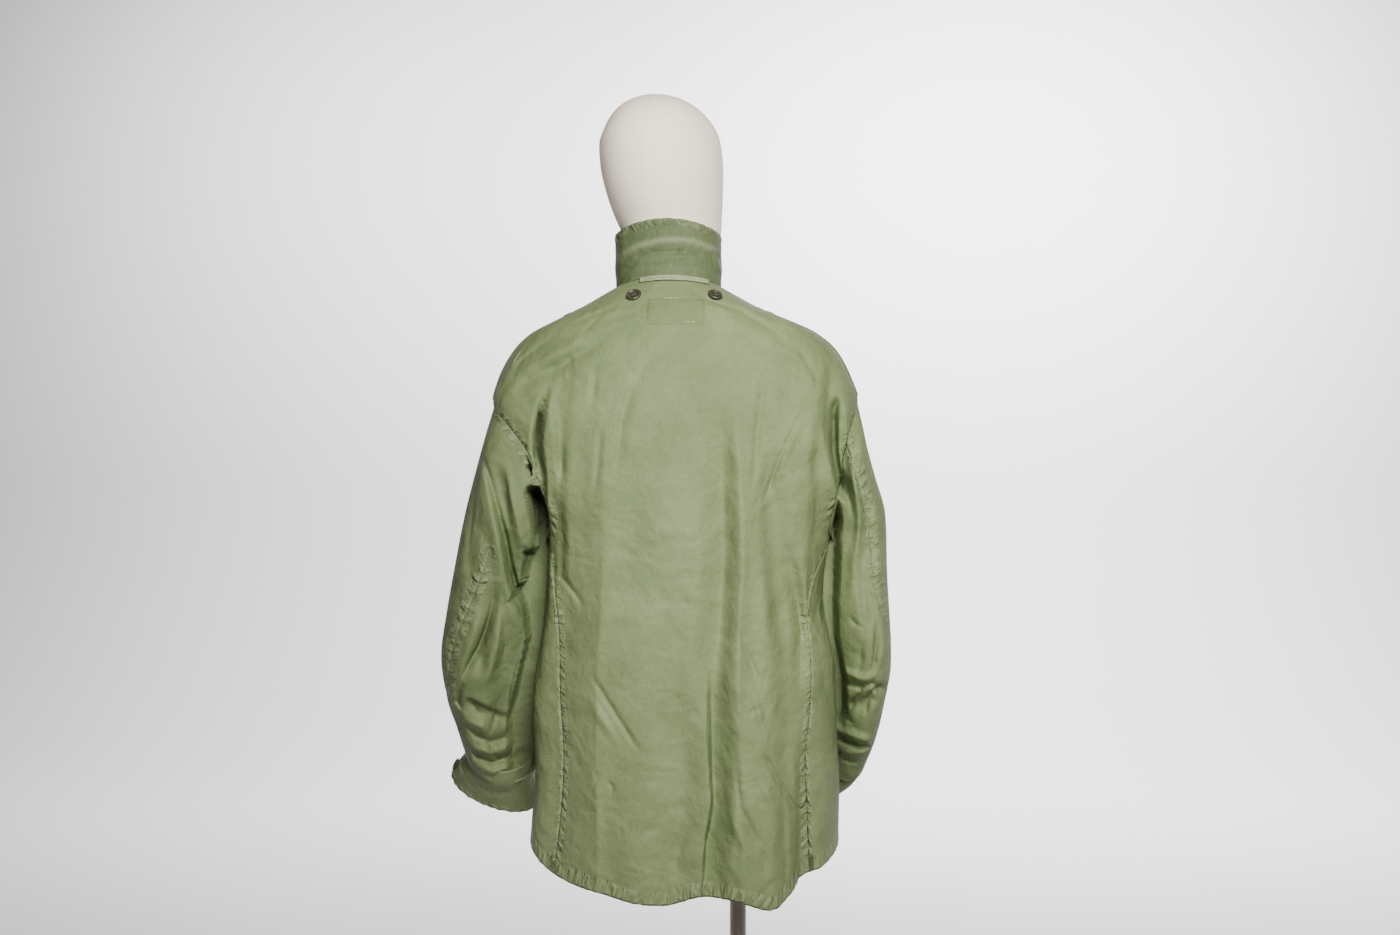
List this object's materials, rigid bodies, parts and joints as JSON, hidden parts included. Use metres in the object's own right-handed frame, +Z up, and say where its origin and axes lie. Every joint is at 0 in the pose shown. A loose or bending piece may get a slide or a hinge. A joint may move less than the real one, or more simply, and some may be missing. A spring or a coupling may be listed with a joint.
{
  "type": "field jacket on a dress form",
  "caption": "Olive cotton field jacket with a stand-up collar, worn by a limbless dress form with an egg head on a pole and round base.",
  "frame": {"origin": "centre of the base plate's flat underside, on the pole's axis", "axes": "+Z up, the jacket's back faces +Y and its front -Y, the wearer's left is +X"},
  "size_m": [0.6033, 0.4, 1.755],
  "materials": {
    "olive_sateen": "washed cotton sateen with a slight sheen",
    "olive_trim": "washed cotton sateen, double layer",
    "dark_button": "satin",
    "snap_metal": "dark satin lacquer",
    "form_linen": "cream linen stretched over a hard form",
    "pole_metal": "dull grey brown",
    "base_metal": "dark satin lacquer"
  },
  "bodies": {
    "root": {"back": "olive_sateen", "base": "base_metal", "chest_flap_left": "olive_trim", "chest_flap_right": "olive_trim", "chest_pocket_left": "olive_trim", "chest_pocket_right": "olive_trim", "collar": "olive_sateen", "cuff_button_left": "dark_button", "cuff_button_right": "dark_button", "cuff_left": "olive_sateen", "cuff_right": "olive_sateen", "cuff_tab_left": "olive_trim", "cuff_tab_right": "olive_trim", "fly": "olive_trim", "form": "form_linen", "front_left": "olive_sateen", "front_right": "olive_sateen", "hanger_loop": "olive_trim", "hip_flap_left": "olive_trim", "hip_flap_right": "olive_trim", "hip_pocket_left": "olive_trim", "hip_pocket_right": "olive_trim", "hood_button_left": "dark_button", "hood_button_right": "dark_button", "pole": "pole_metal", "pole_flange": "pole_metal", "shoulder_strap_left": "olive_trim", "shoulder_strap_right": "olive_trim", "sleeve_left": "olive_sateen", "sleeve_right": "olive_sateen", "snap_1": "snap_metal", "snap_2": "snap_metal", "snap_3": "snap_metal", "snap_4": "snap_metal", "snap_5": "snap_metal", "strap_button_left": "dark_button", "strap_button_right": "dark_button"}
  },
  "joints": []
}
